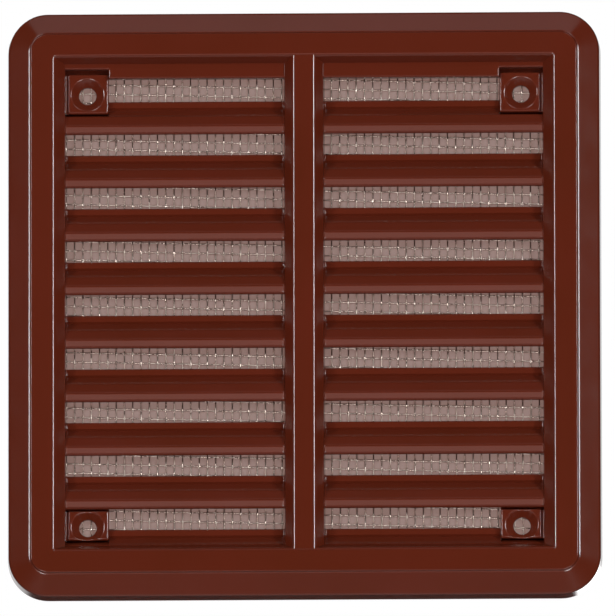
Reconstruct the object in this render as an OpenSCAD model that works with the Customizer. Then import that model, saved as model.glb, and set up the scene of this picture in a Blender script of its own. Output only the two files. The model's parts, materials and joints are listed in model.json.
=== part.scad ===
// Louvred ventilation grille for surface mounting, with two bays of fixed louvres
// and a woven insect mesh staked across its back.
// Millimetres. The front faces -Y, the wall is on the +Y side and +Z is up.
// The origin is the centre of the four screw holes, on the back face of the screw pads.
// Inside the modules y is the depth behind the raised front band and z is measured from
// the centre of the flange. seat() moves a finished piece into the part's own frame.

/* [Flange] */
// Overall width of the flange
flange_w = 165; // [150:1:200]
// Overall height of the flange
flange_h = 165; // [155:1:180]
// Depth from the raised front band to the wall
flange_depth = 9.6; // [8.8:0.1:12]
// Radius of the flange's outer corners, at the wall
corner_r = 11.4; // [9:0.2:15]
// Width of the sloping outer band, from the outline to the step
outer_band_w = 6.5; // [5:0.1:7.5]
// Width of the raised flat band, from the step to the opening
raised_band_w = 6.5; // [4:0.1:9]
// Height of the small step between the two bands
step_h = 0.7; // [0.4:0.1:1.2]
// Depth at which the sloping band turns into the rim
band_drop = 3.1; // [2:0.1:4]
// Radius of the shoulder between the sloping band and the rim
shoulder_r = 1; // [0.5:0.1:1.6]
// Draft of the rim, from its shoulder to the wall
rim_draft = 0.3; // [0:0.05:0.5]
// Thickness of the moulded skin and of the rim
skin_t = 1.8; // [1.2:0.1:2]
// Radius that breaks the edges round the openings
edge_r = 0.4; // [0.2:0.05:0.6]

/* [Opening] */
// How far the side walls of the opening slope inwards
side_slope = 3; // [1:0.1:4]
// How far the top and bottom walls of the opening slope inwards
top_slope = 1.5; // [0.6:0.1:2.4]
// Depth at which the slopes end and the straight walls begin
knee_depth = 3.5; // [2.5:0.1:4]
// Draft of the straight walls behind the knee
wall_draft = 0.3; // [0:0.05:0.5]
// Width of the ledge behind the opening that carries the mesh
ledge_w = 3.2; // [2.8:0.1:4]
// Distance from the wall to the ledge, the backs of the louvres and the screw pads
seat_recess = 1.2; // [1.2:0.1:2]
// Thickness of the gussets between the opening's walls and the rim
gusset_t = 1.2; // [0.8:0.1:2]
// Number of gussets along each side
gussets_per_side = 5; // [2:1:7]

/* [Mullion] */
// Width of the mullion's flat front face
mullion_face_w = 6; // [4:0.1:9]
// How far each flank of the mullion slopes outwards
mullion_slope = 2.4; // [1:0.1:3.5]

/* [Louvres] */
// Height of one louvre, from the bottom of its nose to the top of its lip
louvre_h = 10; // [9:0.1:11]
// Thickness of a louvre's sloping web
web_t = 1.7; // [1.2:0.1:2]
// Radius of the rounded nose
nose_r = 1.6; // [1.2:0.1:2]
// Depth of the front of the nose
nose_depth = 3.5; // [3:0.1:4]
// Thickness of the upright lip at the back of a louvre
lip_t = 1.2; // [0.9:0.1:1.6]
// Height of the upright lip above the hollow
lip_h = 2.3; // [1.5:0.1:3]
// Radius of the hollow between the lip and the web
hollow_r = 3; // [2:0.1:3.6]
// Height of the flat valance that hangs from the top wall
valance_h = 4.1; // [3.4:0.1:5]
// Thickness of the valance
valance_t = 2.4; // [1.6:0.1:3]
// Radius along the valance's lower front edge
valance_edge_r = 0.5; // [0.2:0.05:0.8]
// How much higher the valance ends than a louvre's nose in its place
valance_lift = 0.8; // [0.4:0.1:1.2]
// Height of the part louvre that stands on the bottom wall
sill_h = 5.2; // [4.4:0.1:6.5]

/* [Screw pads] */
// Distance from the side wall's knee to the centre of a screw hole
hole_inset = 6.25; // [5.8:0.05:8]
// Height of the topmost nose position, at the valance, above the centre of an upper screw hole
upper_hole_drop = 3.5; // [3:0.1:4]
// Height of the last louvre's nose above the centre of a lower screw hole
lower_hole_drop = 4.7; // [4:0.1:5.2]
// Radius of a screw hole
hole_r = 2.4; // [1.8:0.1:2.8]
// Radius of the countersink at the face of the pad
sink_r = 4.7; // [4:0.1:5]
// Depth of the countersink
sink_depth = 2.2; // [1.4:0.1:2.4]
// Distance from a hole's centre to the pad's free side
pad_reach = 5.9; // [5.4:0.1:6.6]
// Distance from a hole's centre to the pad's lower edge
pad_down = 5.4; // [5:0.1:5.8]
// Distance from a hole's centre to an upper pad's top edge
pad_up = 5.8; // [5.2:0.1:6]
// Distance from a hole's centre to a lower pad's bottom edge
lower_pad_down = 3.7; // [3.2:0.1:4.4]
// Thickness of a pad
pad_t = 3.4; // [2.8:0.1:3.8]
// Thickness of the plate behind an upper pad's top edge
pad_web_t = 1.2; // [0.8:0.1:1.6]
// Radius along the pad's free upright edge
pad_edge_r = 0.5; // [0.2:0.05:0.8]
// Gap between an upper pad and the notch cut for it in the valance
notch_gap = 1.1; // [0.5:0.1:1.2]

/* [Insect mesh] */
// Diameter of the mesh wires
wire_d = 0.32; // [0.2:0.02:0.36]
// Nearest distance between the upright wires, before it is fitted to the ledge
warp_pitch = 2.3; // [1.8:0.1:2.8]
// Nearest distance between the level wires, before it is fitted to the ledge
weft_pitch = 2.6; // [2:0.1:3]
// Clearance between the wires and what they lie on
wire_gap = 0.02; // [0.01:0.01:0.04]
// Distance from the edge of the ledge to the ends of the wires
mesh_inset = 0.3; // [0.1:0.05:0.5]
// Number of melted stakes along each side
stakes_per_side = 4; // [3:1:6]
// Radius of a stake where it passes through the mesh
stake_r = 0.65; // [0.4:0.05:0.7]
// Radius of a stake's melted head
stake_head_r = 1.4; // [1:0.1:1.5]
// Height of a stake's melted head
stake_head_h = 0.42; // [0.3:0.02:0.45]

/* [Hidden] */
$fn = 64;
LOUVRES = 8;
SIDES = ["left", "right"];

PLASTIC = "#592114";
WIRE = "#9b9189";

// Excess by which a cutting shape passes the face that it cuts
over = 1;
// Number of straight pieces in a small rounded edge
edge_steps = 4;
// Depth by which the gussets are sunk into the skin that they stiffen
gusset_sink = 0.02;

// Depth of the ledge, of the louvres' backs and of the screw pads' backs
seat_depth = flange_depth - seat_recess;

// Half sizes of the opening at the raised band, at the knee and at the ledge
band_in = outer_band_w + raised_band_w;
open_x = flange_w / 2 - band_in;
open_z = flange_h / 2 - band_in;
knee_x = open_x - side_slope;
knee_z = open_z - top_slope;
back_x = knee_x - wall_draft;
back_z = knee_z - wall_draft;
mullion_x = mullion_face_w / 2;
mullion_knee_x = mullion_x + mullion_slope;
mullion_back_x = mullion_knee_x + wall_draft;

// Louvre heights: the pitch divides the height between the valance and the sill.
// Position 0 is the valance's and holds no louvre, LOUVRES + 1 is the sill.
valance_z = knee_z - valance_h;
first_nose_z = valance_z - valance_lift;
sill_lip_z = sill_h - knee_z;
louvre_pitch = (first_nose_z + louvre_h - sill_lip_z) / (LOUVRES + 1);
function nose_z(i) = first_nose_z - i * louvre_pitch;

// Points of the louvre's section, as depth and height above the bottom of its nose.
// The front of the web touches the nose's circle and the hollow's circle.
lip_front = seat_depth - lip_t;
nose_c = [nose_depth + nose_r, nose_r];
hollow_c = [lip_front - hollow_r, louvre_h - lip_h];
centres = hollow_c - nose_c;
web_angle = atan2(centres[1], centres[0]) - asin((nose_r + hollow_r) / norm(centres));
web_out = [-sin(web_angle), cos(web_angle)];
web_run = [cos(web_angle), sin(web_angle)];
web_low = nose_c + nose_r * web_out;
web_high = hollow_c - hollow_r * web_out;
web_back_low = web_low - web_t * web_out;
web_back_high = web_back_low + web_run * (seat_depth - web_back_low[0]) / web_run[0];

// Screw pads. A lower pad stops just under the nose of the last louvre.
lower_pad_gap = 0.2;
pad_face_depth = seat_depth - pad_t;
hole_x = knee_x - hole_inset;
upper_hole_z = nose_z(0) - upper_hole_drop;
lower_hole_z = nose_z(LOUVRES) - lower_hole_drop;
lower_pad_top = nose_z(LOUVRES) - lower_pad_gap;
lower_pad_bottom = lower_hole_z - lower_pad_down;
upper_pad_bottom = upper_hole_z - pad_down;
upper_pad_top = upper_hole_z + pad_up;
pad_free_x = hole_x - pad_reach;
pattern_drop = -(upper_hole_z + lower_hole_z) / 2;

// Insect mesh
ledge_x = back_x + ledge_w;
ledge_z = back_z + ledge_w;
mesh_x = ledge_x - mesh_inset;
mesh_z = ledge_z - mesh_inset;
warp_depth = seat_depth + wire_gap + wire_d / 2;
weft_depth = warp_depth + wire_d + wire_gap;
mesh_back = weft_depth + wire_d / 2 + wire_gap;
// The stakes stand on the middle of the ledge, each in the middle of a mesh cell
stake_x = back_x + ledge_w / 2;
stake_z = back_z + ledge_w / 2;
warp_step = stake_x / (round(stake_x / warp_pitch - 0.5) + 0.5);
weft_step = stake_z / (round(stake_z / weft_pitch - 0.5) + 0.5);
warp_half_count = floor(mesh_x / warp_step);
weft_half_count = floor(mesh_z / weft_step);

// Points along an arc about c, from angle a to angle b
function arc(c, r, a, b, n = edge_steps) =
    [for (i = [0:n]) c + r * [cos(a + (b - a) * i / n), sin(a + (b - a) * i / n)]];

// Middle of the mesh cell that is nearest to the value
function cell(value, step) = step * (round(value / step - 0.5) + 0.5);

// Moves a piece from the flange's centre and front into the part's frame
module seat() {
    translate([0, -seat_depth, pattern_drop]) children();
}

// Extrudes an outline of depth and height along X, centred
module along_x(length) {
    rotate([90, 0, 90]) linear_extrude(height = length, center = true) children();
}

// Extrudes an outline of width and depth along Z, centred
module along_z(height) {
    linear_extrude(height = height, center = true) children();
}

// One wall of an opening as points of half width and depth: rounded edge, slope, draft
function wall_points(front, knee, back) =
    let (run = front - knee)
    let (slope_a = atan2(run, knee_depth))
    let (edge_in = edge_r * tan((90 - slope_a) / 2))
    concat(
        [[front + edge_in, -over]],
        arc([front + edge_in, edge_r], edge_r, -90, -180 + slope_a),
        [[knee, knee_depth], [back, seat_depth], [back, seat_depth + over]]
    );

function mirrored(points) = [for (i = [len(points) - 1:-1:0]) [-points[i][0], points[i][1]]];
function swapped(points) = [for (p = points) [p[1], p[0]]];

side_wall = wall_points(open_x, knee_x, back_x);
top_wall = wall_points(open_z, knee_z, back_z);
mullion_flank = wall_points(-mullion_x, -mullion_knee_x, -mullion_back_x);

// Space between the top wall and the bottom wall, across the whole flange
module between_top_and_bottom() {
    along_x(flange_w) polygon(swapped(concat(top_wall, mirrored(top_wall))));
}

// Space of the whole opening between its four walls
module opening_space() {
    intersection() {
        along_z(flange_h) polygon(concat(side_wall, mirrored(side_wall)));
        between_top_and_bottom();
    }
}

// Space of the right bay, between the mullion and the right wall
module right_bay_space() {
    intersection() {
        along_z(flange_h) polygon(concat(side_wall, mirrored(mullion_flank)));
        between_top_and_bottom();
    }
}

// Mirrors a piece of the right bay into the named side
module on_side(side) {
    mirror([side == "left" ? 1 : 0, 0, 0]) children();
}

// Section of the flange, as distance from the centres of its corners and depth
step_r = corner_r - outer_band_w;
rim_r = corner_r - skin_t;
shoulder_c = [corner_r - rim_draft - shoulder_r, band_drop + shoulder_r];
step_foot = [step_r + step_h / 2, step_h];
shoulder_v = shoulder_c - step_foot;
band_angle = atan2(shoulder_v[1], shoulder_v[0]) - asin(shoulder_r / norm(shoulder_v));

// Underside of the skin, from the opening's walls to the rim
roof_depth = skin_t + step_h / 2;
roof = [
    [rim_r, seat_depth],
    [rim_r - rim_draft, band_drop + skin_t],
    [step_r, roof_depth + step_h],
    [step_r - skin_t, roof_depth]
];

module flange_section() {
    polygon(concat(
        [[0, 0]],
        arc([step_r - step_h / 2, step_h / 2], step_h / 2, -90, 0),
        arc([step_r + step_h / 2, step_h / 2], step_h / 2, 180, 90),
        arc(shoulder_c, shoulder_r, band_angle - 90, 0),
        [[corner_r, flange_depth], [rim_r, flange_depth]],
        roof,
        [[0, roof_depth]]
    ));
}

// Flange, the walls of the opening and the gussets, in one moulding
module front_frame() {
    core_x = flange_w / 2 - corner_r;
    core_z = flange_h / 2 - corner_r;
    color(PLASTIC) difference() {
        union() {
            for (sx = [0, 1], sz = [0, 1])
                mirror([sx, 0, 0]) mirror([0, 0, sz])
                    translate([core_x, 0, core_z])
                        rotate([-90, -90, 0]) rotate_extrude(angle = 90) flange_section();
            for (sx = [0, 1])
                mirror([sx, 0, 0]) translate([core_x, 0, 0])
                    along_z(2 * core_z) flange_section();
            for (sz = [0, 1])
                mirror([0, 0, sz]) translate([0, 0, core_z])
                    along_x(2 * core_x) mirror([1, -1, 0]) flange_section();
            translate([-core_x, 0, -core_z]) cube([2 * core_x, roof_depth, 2 * core_z]);
            translate([-ledge_x, 0, -ledge_z]) cube([2 * ledge_x, seat_depth, 2 * ledge_z]);
            gussets(core_x, ledge_x, 2 * knee_z);
            rotate([0, 90, 0]) gussets(core_z, ledge_z, 2 * knee_x);
        }
        opening_space();
    }
}

// Thin plates across the hollow of the flange, on both sides of the opening
module gussets(core, ledge, span) {
    gusset_pitch = span / (gussets_per_side + 1);
    for (sx = [0, 1], i = [1:gussets_per_side])
        mirror([sx, 0, 0])
            translate([core, -gusset_sink, i * gusset_pitch - span / 2])
                along_z(gusset_t)
                    polygon(concat(roof, [[ledge - core - over, roof_depth], [ledge - core - over, seat_depth]]));
}

// Upright bar between the two bays, hollow at the back
module mullion() {
    hollow_x = mullion_back_x - skin_t;
    hollow_z = back_z - skin_t;
    color(PLASTIC) difference() {
        intersection() {
            translate([-mullion_back_x, 0, -open_z - over])
                cube([2 * mullion_back_x, seat_depth, 2 * (open_z + over)]);
            between_top_and_bottom();
        }
        for (side = SIDES) on_side(side) right_bay_space();
        translate([-hollow_x, knee_depth, -hollow_z])
            cube([2 * hollow_x, seat_depth - knee_depth + over, 2 * hollow_z]);
    }
}

// Bar with a louvre's section: rounded nose, sloping web, hollow and upright lip
module louvre_bar() {
    lip_round_z = louvre_h - lip_t / 2;
    along_x(flange_w) translate(nose_c) circle(r = nose_r);
    difference() {
        along_x(flange_w) polygon([
            web_low,
            web_high,
            [lip_front, hollow_c[1]],
            [lip_front, lip_round_z],
            [seat_depth, lip_round_z],
            web_back_high,
            web_back_low
        ]);
        along_x(flange_w + over) translate(hollow_c) circle(r = hollow_r);
    }
    along_x(flange_w) translate([seat_depth - lip_t / 2, lip_round_z]) circle(d = lip_t);
}

// Room for the screw pads of the right bay, cut out of the louvres that they meet
module pad_room() {
    for (z = [[upper_pad_bottom, upper_pad_top], [lower_pad_bottom, lower_pad_top]])
        translate([pad_free_x, pad_face_depth, z[0]]) cube([open_x, pad_t + over, z[1] - z[0]]);
}

// Flat upright plate with the valance's section
module valance_bar() {
    edge_c = [nose_depth + valance_edge_r, valance_z + valance_edge_r];
    along_x(flange_w) polygon(concat(
        arc(edge_c, valance_edge_r, 180, 270),
        [[nose_depth + valance_t, valance_z], [nose_depth + valance_t, open_z], [nose_depth, open_z]]
    ));
}

// Louvre number i of the right bay, counted from the top; LOUVRES + 1 is the sill
module bay_louvre(i) {
    color(PLASTIC) difference() {
        intersection() {
            translate([0, 0, nose_z(i)]) louvre_bar();
            right_bay_space();
        }
        pad_room();
    }
}

// Plate that hangs from the top wall, notched above the screw pad
module top_valance(side) {
    color(PLASTIC) on_side(side) difference() {
        intersection() {
            valance_bar();
            right_bay_space();
        }
        translate([pad_free_x, -over, upper_pad_bottom])
            cube([open_x, seat_depth + 2 * over, upper_pad_top + notch_gap - upper_pad_bottom]);
    }
}

module bottom_sill(side) {
    on_side(side) bay_louvre(LOUVRES + 1);
}

module louvre(side, i) {
    on_side(side) bay_louvre(i);
}

// Block of a screw pad between two heights, with its free upright edge rounded
module pad_block(bottom_z, top_z) {
    edge_c = [pad_free_x + pad_edge_r, pad_face_depth + pad_edge_r];
    translate([0, 0, (bottom_z + top_z) / 2])
        along_z(top_z - bottom_z)
            polygon(concat(
                [[open_x, seat_depth], [open_x, pad_face_depth]],
                arc(edge_c, pad_edge_r, -90, -180),
                [[pad_free_x, seat_depth]]
            ));
}

// Screw hole with its countersink, to be cut out of a pad
module screw_hole(hole_z) {
    translate([hole_x, 0, hole_z]) rotate([-90, 0, 0]) {
        cylinder(r = hole_r, h = seat_depth + over);
        translate([0, 0, pad_face_depth]) cylinder(r1 = sink_r, r2 = hole_r, h = sink_depth);
    }
}

// Upper pad; a thinner plate behind its top edge joins it to the top wall
module screw_pad_top(side) {
    color(PLASTIC) on_side(side) difference() {
        intersection() {
            union() {
                pad_block(upper_pad_bottom, upper_pad_top);
                translate([pad_free_x, seat_depth - pad_web_t, upper_hole_z])
                    cube([open_x, pad_web_t, open_z - upper_hole_z]);
            }
            right_bay_space();
        }
        valance_bar();
        screw_hole(upper_hole_z);
    }
}

// Lower pad, under the last louvre
module screw_pad_bottom(side) {
    color(PLASTIC) on_side(side) difference() {
        intersection() {
            pad_block(lower_pad_bottom, lower_pad_top);
            right_bay_space();
        }
        screw_hole(lower_hole_z);
    }
}

// Upright wires of the mesh, against the ledge
module mesh_warp_wires() {
    color(WIRE)
        for (k = [-warp_half_count:warp_half_count])
            translate([k * warp_step, warp_depth, -mesh_z]) cylinder(d = wire_d, h = 2 * mesh_z);
}

// Level wires of the mesh, across the upright ones
module mesh_weft_wires() {
    color(WIRE)
        for (k = [-weft_half_count:weft_half_count])
            translate([-mesh_x, weft_depth, k * weft_step])
                rotate([0, 90, 0]) cylinder(d = wire_d, h = 2 * mesh_x);
}

// Plastic stake through a mesh cell, with its head melted flat over the wires
module stake() {
    head_sphere_r = (stake_head_r * stake_head_r + stake_head_h * stake_head_h) / (2 * stake_head_h);
    rotate([-90, 0, 0]) {
        translate([0, 0, seat_depth]) cylinder(r = stake_r, h = mesh_back - seat_depth);
        intersection() {
            translate([0, 0, mesh_back]) cylinder(r = stake_head_r, h = stake_head_h);
            translate([0, 0, mesh_back + stake_head_h - head_sphere_r]) sphere(r = head_sphere_r);
        }
    }
}

// Stakes along the four sides of the ledge
module mesh_stakes() {
    color(PLASTIC)
        for (s = [-1, 1], k = [1:stakes_per_side]) {
            share = (2 * k - stakes_per_side - 1) / stakes_per_side;
            translate([s * stake_x, 0, cell(share * back_z, weft_step)]) stake();
            translate([cell(share * back_x, warp_step), 0, s * stake_z]) stake();
        }
}

seat() front_frame();
seat() mullion();
for (side = SIDES) {
    seat() top_valance(side);
    seat() bottom_sill(side);
    for (i = [1:LOUVRES])
        seat() louvre(side, i);
    seat() screw_pad_top(side);
    seat() screw_pad_bottom(side);
}
seat() mesh_warp_wires();
seat() mesh_weft_wires();
seat() mesh_stakes();
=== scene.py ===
# Looks of a square louvred ventilation grille: a glossy brown moulding with two bays of
# fixed louvres and countersunk screw pads, and a woven wire mesh staked to its back.
import json
import math

import bmesh
import bpy
import numpy as np
from bpy.props import FloatProperty, FloatVectorProperty, IntProperty, PointerProperty
from mathutils import Matrix, Vector


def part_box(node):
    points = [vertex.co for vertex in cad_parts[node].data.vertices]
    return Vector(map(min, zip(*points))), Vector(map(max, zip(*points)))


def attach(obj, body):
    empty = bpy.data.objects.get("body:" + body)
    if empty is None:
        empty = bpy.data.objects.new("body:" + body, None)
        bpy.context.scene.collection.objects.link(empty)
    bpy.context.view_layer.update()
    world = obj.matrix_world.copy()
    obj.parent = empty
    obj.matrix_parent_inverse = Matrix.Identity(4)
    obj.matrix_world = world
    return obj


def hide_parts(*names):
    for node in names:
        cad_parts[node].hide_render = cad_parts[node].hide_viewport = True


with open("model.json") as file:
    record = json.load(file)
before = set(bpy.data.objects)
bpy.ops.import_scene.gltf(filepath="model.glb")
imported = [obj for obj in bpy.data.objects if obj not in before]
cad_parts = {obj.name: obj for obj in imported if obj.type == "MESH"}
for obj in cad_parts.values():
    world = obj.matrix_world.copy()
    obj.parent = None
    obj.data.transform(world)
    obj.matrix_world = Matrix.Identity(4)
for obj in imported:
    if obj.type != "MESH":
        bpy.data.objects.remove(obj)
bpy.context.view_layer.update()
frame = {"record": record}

bl_info = {
    "name": "Louvred ventilation grille",
    "version": (1, 0, 0),
    "blender": (4, 5, 0),
    "location": "View3D > Sidebar > Grille",
    "description": "Builds the visible pieces of a moulded louvre grille round its CAD frame",
    "category": "Object",
}

MM = 0.001
TINY = 1e-9
SIDES = ("left", "right")
LOUVRES = 8
EMBED = 0.2 * MM    # how far a piece runs into its neighbour, so that no seam opens
SEAM = 0.05 * MM    # least overlap or distance between two faces that would else coincide
NEAR = 0.3 * MM     # from an edge to the points that keep the shading of a flat face flat
ALONG = 0.8 * MM    # the same, along a bar or a straight side

# Places that the CAD nodes give. Below, depth runs from the raised front band towards the
# wall and z from the middle of the flange; add_piece() moves both back into the frame.
FLANGE_LO, FLANGE_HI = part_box("front_frame")
HALF_W = (FLANGE_HI.x - FLANGE_LO.x) / 2
DEPTH = FLANGE_HI.y - FLANGE_LO.y
MID_Z = (FLANGE_LO.z + FLANGE_HI.z) / 2
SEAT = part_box("mullion")[1].y - FLANGE_LO.y


def box_of(name):
    """Lowest and highest corner of a CAD node, as x, depth and z from the flange's middle."""
    shift = np.array([0, FLANGE_LO.y, MID_Z])
    return [np.array(corner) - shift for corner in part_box(name)]


# Sizes and colours that a user would change

def length(name, description, millimetres):
    """A length in metres whose default is given in millimetres."""
    return FloatProperty(name=name, description=description, default=millimetres * MM,
                         min=0, subtype="DISTANCE", unit="LENGTH", precision=5)


def angle(name, description, degrees):
    """An angle in radians whose default is given in degrees."""
    return FloatProperty(name=name, description=description, default=math.radians(degrees),
                         subtype="ANGLE")


def colour(name, description, code):
    """A colour whose default is an sRGB hex code."""
    return FloatVectorProperty(name=name, description=description, default=linear(code),
                               size=3, min=0, max=1, subtype="COLOR")


def linear(code):
    """Linear red, green and blue of an sRGB hex code: the sRGB curve taken back."""
    srgb = np.array([int(code[i:i + 2], 16) for i in (1, 3, 5)]) / 255
    return tuple(np.where(srgb <= 0.04045, srgb / 12.92, ((srgb + 0.055) / 1.055) ** 2.4).tolist())


class GrilleFlange(bpy.types.PropertyGroup):
    """Sizes of the flange, the opening and the mullion"""
    corner_r: length("Corner radius", "Radius of the outer corners at the wall", 11.4)
    band_w: length("Band width", "Width of the flange's two bands together", 13)
    step_at: length("Step", "Distance of the step from the outline", 6.5)
    step_h: length("Step height", "Height of the step between the bands", 0.7)
    band_drop: length("Band drop", "Depth at which the sloping band turns into the rim", 3.1)
    shoulder_r: length("Shoulder", "Radius between the sloping band and the rim", 1)
    rim_draft: length("Rim draft", "Draft of the rim", 0.3)
    skin_t: length("Skin", "Thickness of the moulded skin", 1.8)
    edge_r: length("Edge", "Radius that breaks the edges round the openings", 1.2)
    foot_r: length("Foot", "Radius of the rim's edges at the wall", 0.25)
    side_slope: length("Side slope", "How far the side walls slope inwards", 3)
    top_slope: length("Top slope", "How far the top and bottom walls slope inwards", 1.5)
    knee: length("Knee", "Depth at which the slopes end", 3.5)
    draft: length("Draft", "Draft of the straight walls behind the knee", 0.3)
    ledge_w: length("Ledge", "Width of the ledge round the opening that carries the mesh", 3.2)
    gusset_t: length("Gusset", "Thickness of the gussets", 1.2)
    gussets: IntProperty(name="Gussets", description="Gussets along each side", default=5, min=1)
    mullion_w: length("Mullion", "Width of the mullion's flat face", 6)
    mullion_slope: length("Mullion slope", "How far each flank of the mullion slopes out", 2.4)
    mullion_drop: length("Mullion drop", "How far the mullion's face lies behind the band", 0.15)


class GrilleLouvres(bpy.types.PropertyGroup):
    """Sizes of the louvres, valances and sills"""
    height: length("Height", "From the bottom of the nose to the top of the lip", 10)
    web_t: length("Web", "Thickness of the sloping web", 1.7)
    nose_z: length("Nose tip", "Height of the nose's tip above the louvre's nominal foot", 0.15)
    nose_h: length("Nose height", "Height of the nose's flat face", 1.75)
    nose_r: length("Nose", "Radius between the nose's face and the web", 0.8)
    bend_h: length("Bend", "Height at which the web bends", 5.25)
    nose_tilt: angle("Nose tilt", "How far the nose's face looks up", -14)
    low_tilt: angle("Lower tilt", "How far the web below the bend faces up", 31)
    high_tilt: angle("Upper tilt", "How far the web above the bend faces up", 49.5)
    lip_t: length("Lip", "Thickness of the upright lip", 1.2)
    lip_h: length("Lip height", "Height of the lip above the hollow", 1.8)
    hollow_tilt: angle("Hollow", "How far the hollow's upper flank looks up", -52)
    root_r: length("Root", "Radius where a louvre runs into a wall", 0.35)
    valance_t: length("Valance", "Thickness of the valance", 2.4)
    valance_r: length("Valance edge", "Radius along the valance's lower front edge", 0.45)


class GrillePads(bpy.types.PropertyGroup):
    """Sizes of the screw pads and of the plates behind them"""
    height: length("Height", "Height of an upper pad's block", 11.2)
    corner_r: length("Corner", "Radius of a pad's corners as seen from the front", 0.5)
    hole_r: length("Hole", "Radius of a screw hole", 2.4)
    sink_r: length("Countersink", "Radius of the countersink at the pad's face", 4.5)
    sink_depth: length("Countersink depth", "Depth of the countersink", 2.2)
    sink_edge_r: length("Countersink edge", "Radius that breaks the countersink's edge", 1.5)
    edge_r: length("Edge", "Radius along the pad's edges", 0.6)
    root_r: length("Root", "Radius where a pad runs into the side wall", 0.25)
    groove_w: length("Groove", "Width of the groove between a pad and the side wall", 1.2)
    groove_h: length("Groove depth", "Depth of the groove between a pad and the side wall", 0.6)
    plate_t: length("Plate", "Thickness of the plate behind a pad", 1.2)
    plate_edge_r: length("Plate edge", "Radius along the front edges of a plate", 0.2)
    plate_lap: length("Plate lap", "How far a plate reaches down behind its pad", 0.8)
    notch: length("Notch", "Gap between an upper pad and the valance above it", 1.1)
    notch_r: length("Notch corner", "Radius of the valance's corners at the notch", 0.4)
    upstand: length("Upstand", "Height of the plate above a lower pad", 1.1)


class GrilleMesh(bpy.types.PropertyGroup):
    """Sizes of the woven mesh and its stakes"""
    wire_d: length("Wire", "Diameter of the wires", 0.38)
    clearance: length("Clearance", "Room between a wire and what it lies on", 0.02)
    warp_step: length("Warp pitch", "Distance between the upright wires", 2.305)
    weft_step: length("Weft pitch", "Distance between the level wires", 2.615)
    warp_shift: length("Warp shift", "Place of the first upright wire right of the middle", 0.611)
    weft_shift: length("Weft shift", "Place of the first level wire above the middle", 1.511)
    skew: angle("Skew", "How far the level wires drop to the right", 1.4)
    stake_head_r: length("Stake head", "Radius of a stake's melted head", 1.4)


class GrilleFinish(bpy.types.PropertyGroup):
    """Colours of the finishes"""
    plastic: colour("Plastic", "Moulded brown plastic", "#5e2316")
    plastic_deep: colour("Plastic, deep", "Faint streaks of the pigment in the plastic", "#54200f")
    wire: colour("Wire", "Drawn wire", "#c6b8ae")


GROUPS = {
    "grille_flange": GrilleFlange,
    "grille_louvres": GrilleLouvres,
    "grille_pads": GrillePads,
    "grille_mesh": GrilleMesh,
    "grille_finish": GrilleFinish,
}


# Outlines and surfaces

def arc(centre, radius, start, end, steps=8):
    """Points on a circle: the centre plus the radius times the cosine and the sine of angles in
    degrees."""
    turn = np.radians(np.linspace(start, end, steps + 1))
    return np.array(centre) + radius * np.stack([np.cos(turn), np.sin(turn)], -1)


def supported(outline, reach=NEAR):
    """Closed outline with two more points near the ends of each long side, which keep its
    shading flat: the ends moved by the reach along the side."""
    ends = np.roll(outline, -1, axis=0)
    run = ends - outline
    size = np.linalg.norm(run, axis=1, keepdims=True)
    step = run / np.maximum(size, TINY) * reach
    rows = np.stack([outline, outline + step, ends - step], axis=1)
    keep = np.ones(rows.shape[:2], bool)
    keep[:, 1:] = size > 3 * reach
    return rows[keep]


def outward(outline):
    """Mitred outward normals of a closed outline: the sum of the normals of the two sides that
    meet in a point over one plus the cosine between them."""
    after = np.roll(outline, -1, axis=0)
    side = after - outline
    side = side / np.maximum(np.linalg.norm(side, axis=1, keepdims=True), TINY)
    area = np.sum(outline[:, 0] * after[:, 1] - outline[:, 1] * after[:, 0])
    normal = np.stack([side[:, 1], -side[:, 0]], -1) * np.sign(area)
    before = np.roll(normal, 1, axis=0)
    cosine = np.sum(normal * before, axis=1, keepdims=True)
    return (normal + before) / np.maximum(1 + cosine, 0.4)


def grid_faces(rows, columns, wrap_rows=False):
    """Four-sided faces between neighbouring points of a grid whose columns are closed."""
    strips = rows if wrap_rows else rows - 1
    row, column = np.meshgrid(np.arange(strips), np.arange(columns), indexing="ij")
    next_row = (row + 1) % rows * columns
    next_column = (column + 1) % columns
    row = row * columns
    return np.stack([row + column, row + next_column, next_row + next_column, next_row + column],
                    -1).reshape(-1, 4)


def capped(rows, columns):
    """Faces of a grid with closed columns, and one face each over its first and last row."""
    first = np.arange(columns)[None, ::-1]
    last = np.arange(columns)[None] + (rows - 1) * columns
    return [grid_faces(rows, columns), first, last]


def swept(outline, along, grow, axis, top=None):
    """Solid whose section is a closed outline carried along an axis. Point j of section i lies
    at along[i, j] on the axis and grow[i] outside the outline; top[i] cuts a section off."""
    section = outline + grow[:, None, None] * outward(outline)
    if top is not None:
        section[..., 1] = np.minimum(section[..., 1], top[:, None])
    points = np.empty(section.shape[:2] + (3,))
    others = [k for k in range(3) if k != axis]
    points[..., axis] = along
    points[..., others[0]] = section[..., 0]
    points[..., others[1]] = section[..., 1]
    return points.reshape(-1, 3), capped(*section.shape[:2])


def quarter(radius, steps=5):
    """Concave quarter round where a bar meets a wall: one minus the cosine gives the distance
    from the wall and one minus the sine how far the section stands out."""
    turn = np.linspace(0, math.pi / 2, steps + 1)
    return radius * (1 - np.cos(turn)), radius * (1 - np.sin(turn))


def flipped(part, axis=0):
    """The same solid mirrored through the middle of the flange."""
    points, faces = part
    sign = np.ones(3)
    sign[axis] = -1
    return points * sign, faces


def facing_out(points, faces):
    """The faces in the order in which the solid's volume, the sum of the pyramids over them,
    comes out positive."""
    volume = 0
    for group in faces:
        corner = points[group]
        for k in range(1, group.shape[1] - 1):
            volume += np.sum(corner[:, 0] * np.cross(corner[:, k], corner[:, k + 1]))
    return [group if volume > 0 else group[:, ::-1] for group in faces]


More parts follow.
